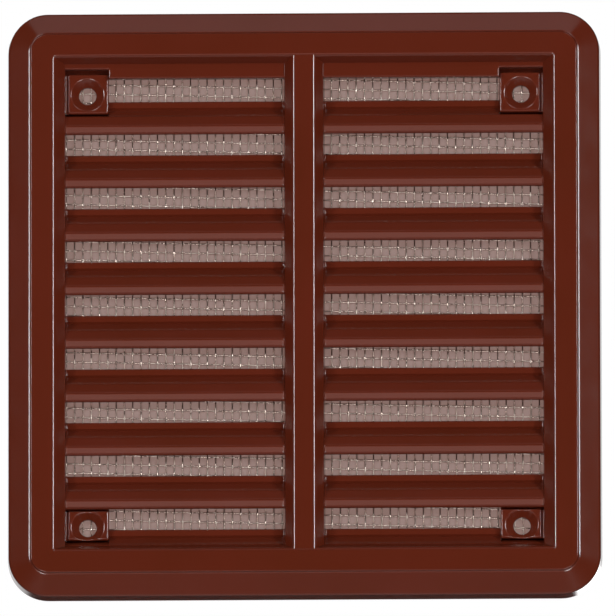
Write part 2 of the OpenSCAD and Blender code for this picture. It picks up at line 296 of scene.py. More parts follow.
def add_piece(name, parts, material, nodes, crease=35):
    """One visible piece from closed solids, riding on the body and standing for its CAD nodes."""
    points = np.concatenate([part[0] for part in parts])
    faces = []
    start = 0
    for part_points, part_faces in parts:
        for group in facing_out(part_points, part_faces):
            faces += (group + start).tolist()
        start += len(part_points)
    placed = points + np.array([0, FLANGE_LO.y, MID_Z])
    mesh = bpy.data.meshes.new(name)
    mesh.from_pydata(placed.tolist(), [], faces)
    work = bmesh.new()
    work.from_mesh(mesh)
    bmesh.ops.remove_doubles(work, verts=work.verts, dist=1e-6)
    bmesh.ops.dissolve_degenerate(work, edges=work.edges, dist=1e-7)
    work.to_mesh(mesh)
    work.free()
    mesh.shade_smooth()
    mesh.set_sharp_from_angle(angle=math.radians(crease))
    mesh.materials.append(material)
    piece = bpy.data.objects.new(name, mesh)
    bpy.context.scene.collection.objects.link(piece)
    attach(piece, "root")
    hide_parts(*nodes)


def add_moulding(name, parts, node):
    """One visible piece of the brown moulding."""
    add_piece(name, parts, moulded_plastic(), [node])


def on_side(side, parts):
    """Solids made for the right-hand side, mirrored where they go to the left."""
    return parts if side == "right" else [flipped(part) for part in parts]


# Materials

def add_node(tree, kind, settings=None, values=None, links=None):
    """Adds one node: settings are its choices, values its constants, links what feeds it."""
    node = tree.nodes.new(kind)
    for key, value in (settings or {}).items():
        setattr(node, key, value)
    for key, value in (values or {}).items():
        node.inputs[key].default_value = value
    for key, socket in (links or {}).items():
        tree.links.new(socket, node.inputs[key])
    return node


def material_tree(name):
    """A new material's node tree with nothing but its output and shader."""
    material = bpy.data.materials.new(name)
    material.use_nodes = True
    return material, material.node_tree, material.node_tree.nodes["Principled BSDF"]


def per_metre(millimetres):
    """Noise scale, in features per metre, of a feature of that size."""
    return 1 / (millimetres * MM)


def moulded_plastic():
    """Glossy injection-moulded styrene plastic, dyed in the mass. The polished mould leaves
    a hard gloss with a faint unevenness, which wavers the highlights along the edges; the
    pigment leaves very faint streaks."""
    name = "moulded_gloss_plastic_brown"
    if name in bpy.data.materials:
        return bpy.data.materials[name]
    finish = bpy.context.scene.grille_finish
    material, tree, shader = material_tree(name)
    place = add_node(tree, "ShaderNodeTexCoord").outputs["Object"]
    streaks = add_node(tree, "ShaderNodeTexNoise",
                       values={"Scale": per_metre(30), "Detail": 3, "Roughness": 0.5},
                       links={"Vector": place})
    tone = add_node(tree, "ShaderNodeMix", {"data_type": "RGBA"},
                    {"A": (*finish.plastic_deep, 1), "B": (*finish.plastic, 1)},
                    {"Factor": streaks.outputs["Fac"]})
    tree.links.new(tone.outputs["Result"], shader.inputs["Base Color"])
    rub = add_node(tree, "ShaderNodeTexNoise",
                   values={"Scale": per_metre(7), "Detail": 4, "Roughness": 0.6},
                   links={"Vector": place})
    gloss = add_node(tree, "ShaderNodeMapRange", values={"To Min": 0.1, "To Max": 0.19},
                     links={"Value": rub.outputs["Fac"]})
    tree.links.new(gloss.outputs["Result"], shader.inputs["Roughness"])
    sinks = add_node(tree, "ShaderNodeTexNoise", values={"Scale": per_metre(14), "Detail": 1},
                     links={"Vector": place})
    waves = add_node(tree, "ShaderNodeBump", values={"Strength": 0.35, "Distance": 0.1 * MM},
                     links={"Height": sinks.outputs["Fac"]})
    peel = add_node(tree, "ShaderNodeTexNoise", values={"Scale": per_metre(0.9), "Detail": 2},
                    links={"Vector": place})
    skin = add_node(tree, "ShaderNodeBump", values={"Strength": 0.12, "Distance": 0.02 * MM},
                    links={"Height": peel.outputs["Fac"], "Normal": waves.outputs["Normal"]})
    tree.links.new(skin.outputs["Normal"], shader.inputs["Normal"])
    shader.inputs["IOR"].default_value = 1.53
    return material


def drawn_wire():
    """Drawn aluminium wire, woven. Drawing leaves a bright skin with fine lines, so each wire
    mirrors its surroundings as a narrow streak; handling dulls it here and there. The real
    lines are finer than they can show, so they are drawn 0.15 mm apart."""
    name = "drawn_aluminium_wire"
    if name in bpy.data.materials:
        return bpy.data.materials[name]
    finish = bpy.context.scene.grille_finish
    material, tree, shader = material_tree(name)
    place = add_node(tree, "ShaderNodeTexCoord").outputs["Object"]
    dull = add_node(tree, "ShaderNodeTexNoise", values={"Scale": per_metre(4), "Detail": 3},
                    links={"Vector": place})
    gloss = add_node(tree, "ShaderNodeMapRange", values={"To Min": 0.18, "To Max": 0.36},
                     links={"Value": dull.outputs["Fac"]})
    tree.links.new(gloss.outputs["Result"], shader.inputs["Roughness"])
    tone = add_node(tree, "ShaderNodeMix", {"data_type": "RGBA"},
                    {"A": (*(0.7 * c for c in finish.wire), 1), "B": (*finish.wire, 1)},
                    {"Factor": dull.outputs["Fac"]})
    tree.links.new(tone.outputs["Result"], shader.inputs["Base Color"])
    lines = add_node(tree, "ShaderNodeTexNoise", values={"Scale": per_metre(0.15), "Detail": 1},
                     links={"Vector": place})
    skin = add_node(tree, "ShaderNodeBump", values={"Strength": 0.2, "Distance": 0.01 * MM},
                    links={"Height": lines.outputs["Fac"]})
    tree.links.new(skin.outputs["Normal"], shader.inputs["Normal"])
    shader.inputs["Metallic"].default_value = 1
    return material


# Shapes

def opening_half(depth, front, slope):
    """Half width of an opening at a depth: the front's half width less a slope down to the
    knee and a draft behind it; at the front a circle of the edge radius touches both."""
    f = bpy.context.scene.grille_flange
    lean = math.atan2(slope, f.knee)
    edge_in = f.edge_r * math.tan((math.pi / 2 - lean) / 2)
    line = (front - slope * np.clip(depth / f.knee, 0, 1)
            - f.draft * np.clip((depth - f.knee) / (SEAT - f.knee), 0, 1))
    rise = np.clip(f.edge_r - depth, 0, f.edge_r)
    rounded = front + edge_in - np.sqrt(np.maximum(f.edge_r ** 2 - rise ** 2, 0))
    return np.where(depth < f.edge_r * (1 - math.sin(lean)), rounded, line)


def wall_at(depth, slope):
    """Half width of the grille's opening at one depth."""
    open_half = HALF_W - bpy.context.scene.grille_flange.band_w
    return opening_half(np.array([depth]), open_half, slope)[0]


def wall_depths():
    """Depths at which the walls of an opening are sampled, from the seat to the front: even
    turns of the rounded edge, and the knee with a point on each side of it."""
    f = bpy.context.scene.grille_flange
    turn = np.radians(np.linspace(75, 0, 9))
    flat = [SEAT, SEAT - NEAR, f.knee + NEAR, f.knee, f.knee - NEAR, f.edge_r * 1.4]
    return np.concatenate([flat, f.edge_r * (1 - np.cos(turn))])


def rounded_rings(half_x, half_z, radius, depth, steps=20, reach=ALONG):
    """Rings in the shape of rounded rectangles, one for each row: in each corner a quarter
    circle about the corner's centre, with a point on the straight side at each end of it."""
    turn = np.linspace(0, math.pi / 2, steps + 1)
    lone = np.ones((len(radius), 1)) * reach
    across = np.hstack([radius[:, None], radius[:, None] * np.cos(turn), -lone])
    up = np.hstack([-lone, radius[:, None] * np.sin(turn), radius[:, None]])
    x = (half_x - radius)[:, None] + across
    z = (half_z - radius)[:, None] + up
    ring_x = np.hstack([x, -x[:, ::-1], -x, x[:, ::-1]])
    ring_z = np.hstack([z, z[:, ::-1], -z, -z[:, ::-1]])
    ring_d = np.broadcast_to(depth[:, None], ring_x.shape)
    points = np.stack([ring_x, ring_d, ring_z], -1)
    return points.reshape(-1, 3), [grid_faces(len(radius), ring_x.shape[1], wrap_rows=True)]


def flange_section():
    """Outer part of the flange's section, as distance outside the corners' centres and depth:
    the step's two quarter rounds, the sloping band, the shoulder, the rim and the underside."""
    f = bpy.context.scene.grille_flange
    step_r = f.corner_r - f.step_at
    half = f.step_h / 2
    shoulder = np.array([f.corner_r - f.rim_draft - f.shoulder_r, f.band_drop + f.shoulder_r])
    way = shoulder - np.array([step_r + half, f.step_h])
    slope = math.degrees(math.atan2(way[1], way[0]) - math.asin(f.shoulder_r / np.hypot(*way)))
    rim = f.corner_r - f.skin_t
    roof = f.skin_t + half
    foot = f.foot_r
    return np.concatenate([
        arc([step_r - half, half], half, -90, 0, 6),
        arc([step_r + half, half], half, 180, 90, 6)[1:],
        arc(shoulder, f.shoulder_r, slope - 90, 0, 10),
        arc([f.corner_r - foot, DEPTH - foot], foot, 0, 90, 4),
        arc([rim + foot, DEPTH - foot], foot, 90, 180, 4),
        [[rim, SEAT], [rim - f.rim_draft, f.band_drop + f.skin_t],
         [step_r, roof + f.step_h], [step_r - f.skin_t, roof]],
    ]), roof


def front_frame_part():
    """Flange and opening as rings along one closed section: up the opening's walls, over both
    bands, down the rim, back along the underside and down the outer face of the ledge."""
    f = bpy.context.scene.grille_flange
    core = HALF_W - f.corner_r
    open_half = HALF_W - f.band_w
    depth = wall_depths()
    side = opening_half(depth, open_half, f.side_slope)
    top = opening_half(depth, open_half, f.top_slope)
    walls = np.stack([side, top, 0 * depth, depth], -1)
    section, roof = flange_section()
    out, down = section[:, 0], section[:, 1]
    skin = np.stack([core + out, core + out, out, down], -1)
    ledge = [side[0] + f.ledge_w, top[0] + f.ledge_w, 0]
    back = np.array([[*ledge, roof], [*ledge, SEAT]])
    rows = supported(np.concatenate([walls, skin, back]))
    return rounded_rings(*rows.T)


def gusset_parts():
    """Thin plates across the hollow of the flange: the hollow's section with the thickness of
    a gusset, at even distances along each side."""
    f = bpy.context.scene.grille_flange
    core = HALF_W - f.corner_r
    open_half = HALF_W - f.band_w
    section, roof = flange_section()
    hollow = section[-4:]
    parts = []
    for axis, slope, span_slope in ((2, f.side_slope, f.top_slope),
                                    (0, f.top_slope, f.side_slope)):
        wall = wall_at(SEAT, slope) + f.ledge_w - core
        outline = np.concatenate([hollow, [[wall, roof], [wall, SEAT]]])
        outline = outline + SEAM * outward(outline) + [core, 0]
        outline = outline if axis == 2 else outline[:, ::-1]
        span = 2 * (open_half - span_slope)
        for k in range(f.gussets):
            middle = (k + 1) * span / (f.gussets + 1) - span / 2
            rows = middle + f.gusset_t / 2 * np.array([-1, 1])
            part = swept(outline, rows[:, None], np.zeros(2), axis)
            parts += [part, flipped(part, 2 - axis)]
    return parts


def mullion_part():
    """Mullion as one section carried up between the top and the bottom wall: a flat face with
    rounded edges, two sloping flanks and a hollow back that ends a skin short of the walls."""
    f = bpy.context.scene.grille_flange
    depth = wall_depths()
    flank = -opening_half(depth, -f.mullion_w / 2, f.mullion_slope)
    depth = np.maximum(depth, 0) + f.mullion_drop * np.clip(1 - depth / f.knee, 0, 1)
    right = np.stack([flank, depth], -1)
    left = right[::-1] * [-1, 1]
    inside = flank[0] - f.skin_t
    hollow = np.array([[-inside, SEAT], [-inside, f.knee], [inside, f.knee], [inside, SEAT]])
    outline = supported(np.concatenate([right, left, hollow]))
    is_hollow = (np.abs(outline[:, 0]) <= inside + TINY) & (outline[:, 1] >= f.knee - TINY)
    closed = outline.copy()
    closed[is_hollow, 1] = SEAT
    end = opening_half(outline[:, 1], HALF_W - f.band_w, f.top_slope)
    stop = np.full_like(end, wall_at(SEAT, f.top_slope) - f.skin_t)
    upper = np.stack([stop, stop, end - 2 * NEAR, end + EMBED])
    heights = np.concatenate([-upper[::-1], upper])
    sections = np.stack([closed, closed, closed, outline, outline, closed, closed, closed])
    points = np.stack([sections[..., 0], sections[..., 1], heights], -1)
    return points.reshape(-1, 3), capped(*points.shape[:2])


def louvre_outline(cut=None):
    """Louvre's section as depth and height above its foot: the lip's half circle, the flank
    that runs back under the lip to where it meets the web's plane, the two flats of the web,
    the round above the nose, the nose's flat face and its round tip, and the same flats again
    a web's thickness farther back. Each flat is given by its normal. With a cut the section
    ends at that height."""
    s = bpy.context.scene.grille_louvres
    f = bpy.context.scene.grille_flange
    nose, low, high = (np.array([-math.cos(tilt), math.sin(tilt)])
                       for tilt in (s.nose_tilt, s.low_tilt, s.high_tilt))
    rise = np.array([high[1], -high[0]])
    low_rise = np.array([low[1], -low[0]])
    nose_rise = np.array([nose[1], -nose[0]])
    half = s.web_t / 2
    brow_way = (nose + low) / (1 + nose @ low)
    tip = s.nose_r * brow_way - s.nose_h * nose_rise - half * nose
    brow = np.array([f.knee + s.nose_r, s.nose_z + half - tip[1]])
    tip = tip + brow
    corner = brow + s.nose_r * brow_way
    bend = corner + (s.bend_h - corner[1]) / low_rise[1] * low_rise
    brink = np.array([SEAT - s.lip_t, s.height - s.lip_h])
    inward = np.array([-math.sin(s.hollow_tilt), -math.cos(s.hollow_tilt)])
    hollow = brink + (bend - brink) @ high / (inward @ high) * inward
    upper = np.concatenate([
        arc([SEAT - s.lip_t / 2, s.height - s.lip_t / 2], s.lip_t / 2, 0, 180, 10),
        [brink, hollow, bend],
    ])
    if cut is not None:
        front = bend - (s.bend_h - cut) / low_rise[1] * low_rise
        return np.concatenate([[[SEAT, cut]], upper, [front]])
    inner_bend = bend - s.web_t * (low + high) / (1 + low @ high)
    back = inner_bend + rise * (SEAT - inner_bend[0]) / rise[0]
    low_turn, nose_turn = 180 - math.degrees(s.low_tilt), 180 - math.degrees(s.nose_tilt)
    return np.concatenate([
        [back], upper,
        arc(brow, s.nose_r, low_turn, nose_turn, 10),
        arc(tip, half, nose_turn, nose_turn + 180, 16),
        [corner - s.web_t * brow_way, inner_bend],
    ])


def bar(outline, nose_z, pad_x=None, pad_z=None):
    """Bar of the right bay with that section, from the mullion to the side wall, with a
    concave quarter round at both ends. Beyond pad_x it ends at the height pad_z."""
    f = bpy.context.scene.grille_flange
    s = bpy.context.scene.grille_louvres
    outline = supported(outline)
    depth = outline[:, 0]
    inner = -opening_half(depth, -f.mullion_w / 2, f.mullion_slope)
    outer = opening_half(depth, HALF_W - f.band_w, f.side_slope)
    reach, stand = quarter(s.root_r)
    reach = np.concatenate([[-EMBED / 2], reach, [s.root_r + ALONG]])
    stand = np.concatenate([stand[:1], stand, [0]])
    start = inner + reach[:, None]
    finish = (outer - reach[:, None])[::-1]
    grow = np.concatenate([stand, stand[::-1]])
    along = np.concatenate([start, finish])
    top = None
    if pad_x is not None:
        step = np.full((2, len(depth)), pad_x)
        along = np.concatenate([start, step, finish])
        grow = np.concatenate([stand, [0, 0], stand[::-1]])
        top = np.repeat([np.inf, pad_z - nose_z], len(stand) + 1)
    points, faces = swept(outline, along, grow, 0, top)
    return points + [0, 0, nose_z], faces


def valance_part():
    """Valance of the right bay: a flat plate that hangs from the top wall, as an outline of x
    and z with a notch above the screw pad."""
    f = bpy.context.scene.grille_flange
    s = bpy.context.scene.grille_louvres
    p = bpy.context.scene.grille_pads
    low, high = box_of("top_valance_right")
    pad_x = box_of("screw_pad_top_right")[0][0]
    notch = pad_z_top() + p.notch
    sunk = s.valance_r + 0.75 * EMBED
    roof = HALF_W - f.band_w - f.top_slope + sunk
    x0, x1 = low[0] - sunk, high[0] + sunk
    outline = np.concatenate([
        [[x0, roof], [x0, low[2]]],
        arc([pad_x - p.notch_r, low[2] + p.notch_r], p.notch_r, -90, 0, 5),
        arc([pad_x + p.notch_r, notch - p.notch_r], p.notch_r, 180, 90, 5),
        [[x1, notch], [x1, roof]],
    ])
    return plate_part(supported(outline), low[1], low[1] + s.valance_t, s.valance_r)


def sill_part():
    """Sill of the right bay: a bar with a louvre's section, cut off inside the bottom wall."""
    f = bpy.context.scene.grille_flange
    s = bpy.context.scene.grille_louvres
    nose_z = box_of("bottom_sill_right")[1][2] - s.height
    floor_z = -(HALF_W - f.band_w - f.top_slope) - EMBED
    pad_low = box_of("screw_pad_bottom_right")[0]
    return bar(louvre_outline(floor_z - nose_z), nose_z, pad_low[0], pad_low[2])


def hole_centre(level):
    """Centre of a right-hand screw hole, from the record's bolt pattern, as x and z."""
    mount = next(m for m in frame["record"]["mounts"] if m["name"] == "screw_holes")
    x = mount["dims"]["spacing_x_mm"] / 2 * MM
    z = mount["dims"]["spacing_y_mm"] / 2 * MM
    return np.array([x, (z if level == "top" else -z) - MID_Z])


def pad_z_top():
    """Top edge of an upper pad's block, measured from the lower edge of the CAD's pad."""
    return box_of("screw_pad_top_right")[0][2] + bpy.context.scene.grille_pads.height


def pad_outline(low, high, radius, steps=6, straight=14):
    """Rounded rectangle of x and z round a pad: quarter circles joined by evenly set points."""
    inner = np.array([low + radius, high - radius])
    corners = [([inner[1, 0], inner[1, 1]], 0), ([inner[0, 0], inner[1, 1]], 90),
               ([inner[0, 0], inner[0, 1]], 180), ([inner[1, 0], inner[0, 1]], 270)]
    arcs = [arc(centre, radius, start, start + 90, steps) for centre, start in corners]
    share = np.linspace(0, 1, straight + 1)[1:-1, None]
    pieces = []
    for here, after in zip(arcs, arcs[1:] + arcs[:1]):
        pieces += [here, here[-1] * (1 - share) + after[0] * share]
    return np.concatenate(pieces)


def sink_depth_at(radius):
    """Depth below the pad's face at a distance from the hole's axis: none outside the
    countersink and its cone inside, blended as half their sum plus the root of half their
    difference squared and a small constant, which rounds the edge. A last term takes the
    blend back to the face a little way off."""
    p = bpy.context.scene.grille_pads
    cone = (p.sink_r - radius) / (p.sink_r - p.hole_r) * p.sink_depth
    soft = 0.25 * p.sink_edge_r
    rounded = cone / 2 + np.sqrt((cone / 2) ** 2 + soft ** 2 / 4)
    return rounded - soft ** 2 / (4 * np.abs(cone) + 8 * soft)


def pad_part(low, high, centre):
    """Screw pad's block as rings about its hole: the back, the sides, a rounded edge, the face
    and the countersink, whose depth depends on the distance from the hole, and the hole. The
    rings lie close where the countersink's edge turns."""
    p = bpy.context.scene.grille_pads
    outline = pad_outline(low[[0, 2]], high[[0, 2]], p.corner_r)
    normal = outward(outline)
    face = low[1]
    turn = np.radians(np.linspace(0, 90, 7))
    inset = p.edge_r * (1 - np.cos(turn))
    rise = p.edge_r * (1 - np.sin(turn))
    edge = outline - inset[:, None, None] * normal
    away = edge - centre
    edge_depth = face + rise[:, None] + sink_depth_at(np.linalg.norm(away, axis=2))
    inner = edge[-1] - centre
    far = np.linalg.norm(inner, axis=1)
    ray = inner / far[:, None]
    turning = np.concatenate([[1, 0.7], np.linspace(0.5, -0.5, 11), [-0.7]]) * MM
    wanted = np.concatenate([p.sink_r + turning, [(p.sink_r + p.hole_r) / 2],
                             p.hole_r + np.array([0.3, 0.1]) * MM])
    radius = np.minimum(wanted[:, None], far)
    dish = centre + radius[..., None] * ray
    dish_depth = face + sink_depth_at(radius)
    hole = np.broadcast_to(centre + p.hole_r * ray, (3,) + ray.shape)
    foot = face + p.sink_depth
    hole_depth = np.repeat([[foot + 0.1 * MM], [foot + 0.3 * MM], [SEAT]], len(outline), axis=1)
    flat = np.concatenate([outline[None], edge, dish, hole])
    depth = np.concatenate([np.full((1, len(outline)), SEAT), edge_depth, dish_depth, hole_depth])
    points = np.stack([flat[..., 0], depth, flat[..., 1]], -1)
    return points.reshape(-1, 3), [grid_faces(len(flat), len(outline), wrap_rows=True)]


def plate_part(outline, front, back, edge_r, steps=5):
    """Flat plate with that outline of x and z, whose front edges are rounded: the outline moved
    in by one minus the cosine of a turn, at a depth of one minus its sine."""
    turn = np.linspace(0, math.pi / 2, steps + 1)
    grow = np.concatenate([[0, 0], -edge_r * (1 - np.cos(turn))])
    depth = np.concatenate([[back, front + edge_r * 1.5], front + edge_r * (1 - np.sin(turn))])
    return swept(outline, depth[:, None], grow, 1)


def rectangle(x0, x1, z0, z1):
    """Outline of a plate between two x and two z values."""
    return np.array([[x0, z0], [x1, z0], [x1, z1], [x0, z1]])


def pad_parts(level):
    """Right-hand screw pad: its block; the floor of the groove between block and side wall,
    one section with a concave quarter round carried up; a plate behind, which closes the slit
    above the block; and for an upper pad a cheek that joins that plate to the valance."""
    f = bpy.context.scene.grille_flange
    s = bpy.context.scene.grille_louvres
    p = bpy.context.scene.grille_pads
    low, high = box_of("screw_pad_%s_right" % level)
    upper = level == "top"
    top = pad_z_top() if upper else high[2]
    wall = wall_at(low[1], f.side_slope)
    parts = [pad_part(low, np.array([wall - p.groove_w / 2, high[1], top]), hole_centre(level))]
    floor, r, inside = low[1] + p.groove_h, p.root_r, high[0] + 2 * EMBED
    root = np.concatenate([
        arc([wall - r, floor - r], r, 0, 90),
        [[wall - p.groove_w, floor], [wall - p.groove_w, SEAT], [inside, SEAT],
         [inside, floor - r]],
    ])
    ends = np.array([low[2], top - p.edge_r / 2])
    parts.append(swept(supported(root), ends[:, None], np.zeros(2), 2))
    foot = top - p.plate_lap
    head = high[2] + 2.5 * EMBED if upper else top + p.upstand
    plate = rectangle(low[0], high[0], foot, head)
    parts.append(plate_part(plate, SEAT - p.plate_t, SEAT, p.plate_edge_r))
    if upper:
        valance_back = box_of("top_valance_right")[0][1] + s.valance_t
        cheek = rectangle(low[0] - p.plate_t, low[0] - SEAM, foot, head)
        parts.append(plate_part(cheek, valance_back - EMBED, SEAT, p.plate_edge_r))
    return parts


def wire_tubes(start, run, across, bulge, rings, wire_r, sides=6, twist=0.3):
    """Tubes that weave: each centre line runs straight from start along run and sways in depth
    by the bulge, and a ring of points stands round it at each of its steps."""
    share = np.linspace(0, 1, rings)
    centre = start[:, None, :] + share[None, :, None] * run[:, None, :]
    centre[..., 1] += bulge
    size = np.linalg.norm(run, axis=1, keepdims=True)
    along = run / size
    turn = np.arange(sides) * 2 * math.pi / sides + twist
    slope = np.gradient(centre[..., 1], axis=1) / (size / (rings - 1))
    depth_dir = np.array([0, 1, 0]) - slope[..., None] * along[:, None, :]
    depth_dir /= np.linalg.norm(depth_dir, axis=-1, keepdims=True)
    ring = wire_r * (np.cos(turn)[:, None] * across[:, None, None, :]
                     + np.sin(turn)[:, None] * depth_dir[:, :, None, :])
    points = centre[:, :, None, :] + ring
    starts = np.arange(len(start))[:, None, None] * rings * sides
    faces = [(starts + group).reshape(-1, group.shape[1]) for group in capped(rings, sides)]
    return points.reshape(-1, 3), faces


def lattice(step, shift, limit):
    """Numbers of the even steps from the shift that stay within the limit on both sides."""
    first = math.ceil((-limit - shift) / step)
    last = math.floor((limit - shift) / step)
    return np.arange(first, last + 1)


def mesh_parts():
    """Both sets of wires of a plain weave: a wire stands out by the cosine of its way over the
    other set's pitch, one wire over where its neighbour is under."""
    m = bpy.context.scene.grille_mesh
    high = box_of("mesh_warp_wires")[1]
    edge_x, edge_z = high[0] - m.wire_d, high[2]
    middle = SEAT + m.clearance + m.wire_d
    sway = m.wire_d / 2 + m.clearance / 2
    drop = math.tan(m.skew)
    warp = lattice(m.warp_step, m.warp_shift, edge_x)
    weft = lattice(m.weft_step, m.weft_shift, edge_z - drop * edge_x - m.wire_d)
    rings = 4 * round(2 * edge_z / m.weft_step) + 1
    x = m.warp_shift + warp * m.warp_step
    z = np.linspace(-edge_z, edge_z, rings)
    level = (z[None] + drop * x[:, None] - m.weft_shift) / m.weft_step
    bulge = sway * np.cos(math.pi * (level + warp[:, None]))
    start = np.stack([x, np.full_like(x, middle), np.full_like(x, -edge_z)], -1)
    run = np.broadcast_to([0, 0, 2 * edge_z], start.shape)
    across = np.broadcast_to([1.0, 0, 0], start.shape)
    uprights = wire_tubes(start, run, across, bulge, rings, m.wire_d / 2)
    rings = 4 * round(2 * edge_x / m.warp_step) + 1
    reach = edge_x + m.wire_d / 2
    along = np.linspace(-reach, reach, rings)
    z = m.weft_shift + weft * m.weft_step
    bulge = -sway * np.cos(math.pi * ((along[None] - m.warp_shift) / m.warp_step + weft[:, None]))
    start = np.stack([np.full_like(z, -reach), np.full_like(z, middle), z + drop * reach], -1)
    run = np.broadcast_to([2 * reach, 0, -2 * drop * reach], start.shape)
    across = np.broadcast_to([math.sin(m.skew), 0, math.cos(m.skew)], start.shape)
    levels = wire_tubes(start, run, across, bulge, rings, m.wire_d / 2)
    return uprights, levels


def stake_parts():
    """Melted stakes where the CAD has them: a neck through the mesh and a head whose rim wavers
    with the turn, as plastic spreads unevenly under a hot tip."""
    m = bpy.context.scene.grille_mesh
    f = bpy.context.scene.grille_flange
    high = box_of("mesh_stakes")[1]
    head_r = m.stake_head_r
    x_line = high[0] - head_r
    z_line = high[2] - head_r
    top = high[1]
    base = SEAT + 2 * (m.wire_d + m.clearance) + m.clearance
    open_half = HALF_W - f.band_w
    spread = np.array([-0.75, -0.25, 0.25, 0.75])
    side_z = spread * (open_half - f.top_slope - f.draft)
    side_x = spread * (open_half - f.side_slope - f.draft)
    places = [(s * x_line, z) for s in (-1, 1) for z in side_z]
    places += [(x, s * z_line) for s in (-1, 1) for x in side_x]
    turn = np.linspace(0, 2 * math.pi, 24, endpoint=False)
    # The profile from the foot of the neck to the middle of the head: its radius over the
    # head's, and its height from -1, the foot, over 0, the mesh, to 1, the head's top
    radius = np.array([0.46, 0.46, 0.95, 1, 0.93, 0.75, 0.5, 0.22, 0]) * head_r
    rise = np.array([-1, 0, 0.02, 0.15, 0.45, 0.72, 0.9, 0.97, 1])
    depth = np.where(rise < 0, SEAT - EMBED / 2, base + np.clip(rise, 0, 1) * (top - base))
    parts = []
    for number, (x, z) in enumerate(places):
        waver = (0.94 + 0.035 * np.cos(2 * turn + number)
                 + 0.025 * np.cos(3 * turn + 2.3 * number))
        ring = radius[:, None] * np.where(radius[:, None] > 0.5 * head_r, waver, 1)
        points = np.stack([x + ring * np.cos(turn), np.broadcast_to(depth[:, None], ring.shape),
                           z + ring * np.sin(turn)], -1)
        parts.append((points.reshape(-1, 3), capped(len(radius), len(turn))[:2]))
    return parts


# Operators

class GRILLE_OT_front_frame(bpy.types.Operator):
    """Build the flange with the walls of the opening, and its gussets"""
    bl_idname = "grille.front_frame"
    bl_label = "Front frame"

    def execute(self, context):
        add_moulding("front_frame_shell", [front_frame_part()], "front_frame")
        add_moulding("front_frame_gussets", gusset_parts(), "front_frame")
        return {"FINISHED"}


class GRILLE_OT_mullion(bpy.types.Operator):
    """Build the upright bar between the bays"""
    bl_idname = "grille.mullion"
    bl_label = "Mullion"

    def execute(self, context):
        add_moulding("mullion_bar", [mullion_part()], "mullion")
        return {"FINISHED"}


class GRILLE_OT_louvres(bpy.types.Operator):
    """Build the louvres of both bays"""
    bl_idname = "grille.louvres"
    bl_label = "Louvres"

    def execute(self, context):
        outline = louvre_outline()
        pad_low = box_of("screw_pad_top_right")[0]
        for number in range(1, LOUVRES + 1):
            nose_z = box_of("louvre_right_%d" % number)[0][2]
            room = (pad_low[0], pad_low[2]) if number == 1 else ()
            blade = [bar(outline, nose_z, *room)]
            for side in SIDES:
                add_moulding("louvre_blade_%s_%d" % (side, number), on_side(side, blade),
                             "louvre_%s_%d" % (side, number))
        return {"FINISHED"}


class GRILLE_OT_valances_and_sills(bpy.types.Operator):
    """Build the valances under the top wall and the sills on the bottom wall"""
    bl_idname = "grille.valances_and_sills"
    bl_label = "Valances and sills"

    def execute(self, context):
        valance, sill = [valance_part()], [sill_part()]
        for side in SIDES:
            add_moulding("valance_plate_" + side, on_side(side, valance), "top_valance_" + side)
            add_moulding("sill_" + side, on_side(side, sill), "bottom_sill_" + side)
        return {"FINISHED"}


class GRILLE_OT_screw_pads(bpy.types.Operator):
    """Build the four countersunk screw pads"""
    bl_idname = "grille.screw_pads"
    bl_label = "Screw pads"

    def execute(self, context):
        for level in ("top", "bottom"):
            parts = pad_parts(level)
            for side in SIDES:
                add_moulding("pad_%s_%s" % (level, side), on_side(side, parts),
                             "screw_pad_%s_%s" % (level, side))
        return {"FINISHED"}


class GRILLE_OT_wire_mesh(bpy.types.Operator):
    """Build the woven mesh and the stakes that hold it"""
    bl_idname = "grille.wire_mesh"
    bl_label = "Wire mesh"

    def execute(self, context):
        uprights, levels = mesh_parts()
        for name, part, node in (("woven_upright_wires", uprights, "mesh_warp_wires"),
                                 ("woven_level_wires", levels, "mesh_weft_wires")):
            add_piece(name, [part], drawn_wire(), [node], crease=80)
        add_moulding("melted_stakes", stake_parts(), "mesh_stakes")
        return {"FINISHED"}


# Stage

def direction(azimuth, elevation):
    """Unit vector from the grille's front: azimuth turns to the right of the front as seen
    from there, elevation up, both in degrees."""
    a, e = math.radians(azimuth), math.radians(elevation)
    return Vector((math.sin(a) * math.cos(e), -math.cos(a) * math.cos(e), math.sin(e)))


def aimed(place, target):
    """Matrix of a camera or lamp at a place that looks at a target."""
    turn = (target - place).to_track_quat("-Z", "Y")
    return Matrix.Translation(place) @ turn.to_matrix().to_4x4()


# The camera looks up at the grille from a little below and to its right, as in the photo.
# Angles in degrees, the rest in metres; the field is measured in the target's plane.
CAMERA_AZIMUTH, CAMERA_ELEVATION, CAMERA_ROLL = 1.2, -10.3, 0.1
CAMERA_AWAY = 8
HALF_FIELD = 85.5 * MM
TARGET = Vector((1.12 * MM, FLANGE_LO.y, -0.5 * MM))

# Lamps that look at the grille: azimuth and elevation in degrees, distance, width and height
# in metres, radiance and colour. The strips draw the thin light lines along upright edges,
# the keys and fills light the slopes, and the rear lamps only show the back from behind.
LAMPS = {
    "top_back": (0, 62, 2.4, 2.2, 0.5, 0.55, "#ffffff"),
    "bounce_front": (0, -18, 2.4, 2.6, 0.6, 1.2, "#ffcbbf"),
    "key_left": (-20, 36, 2.4, 0.5, 0.5, 5.4, "#ffffff"),
    "key_right": (20, 36, 2.4, 0.5, 0.5, 2.9, "#ffffff"),
    "strip_left": (-38, 10, 2.4, 0.3, 0.6, 32, "#ffffff"),
    "strip_right": (38, 10, 2.4, 0.3, 0.6, 42, "#ffffff"),
    "fill_left": (-17, -26, 2.4, 0.5, 0.5, 10.5, "#ffffff"),
    "fill_right": (17, -26, 2.4, 0.5, 0.5, 14, "#ffffff"),
    "rear_left": (-135, 35, 2.4, 1.6, 1.2, 5, "#ffffff"),
    "rear_right": (150, -10, 2.4, 1.6, 1.2, 5, "#ffffff"),
}

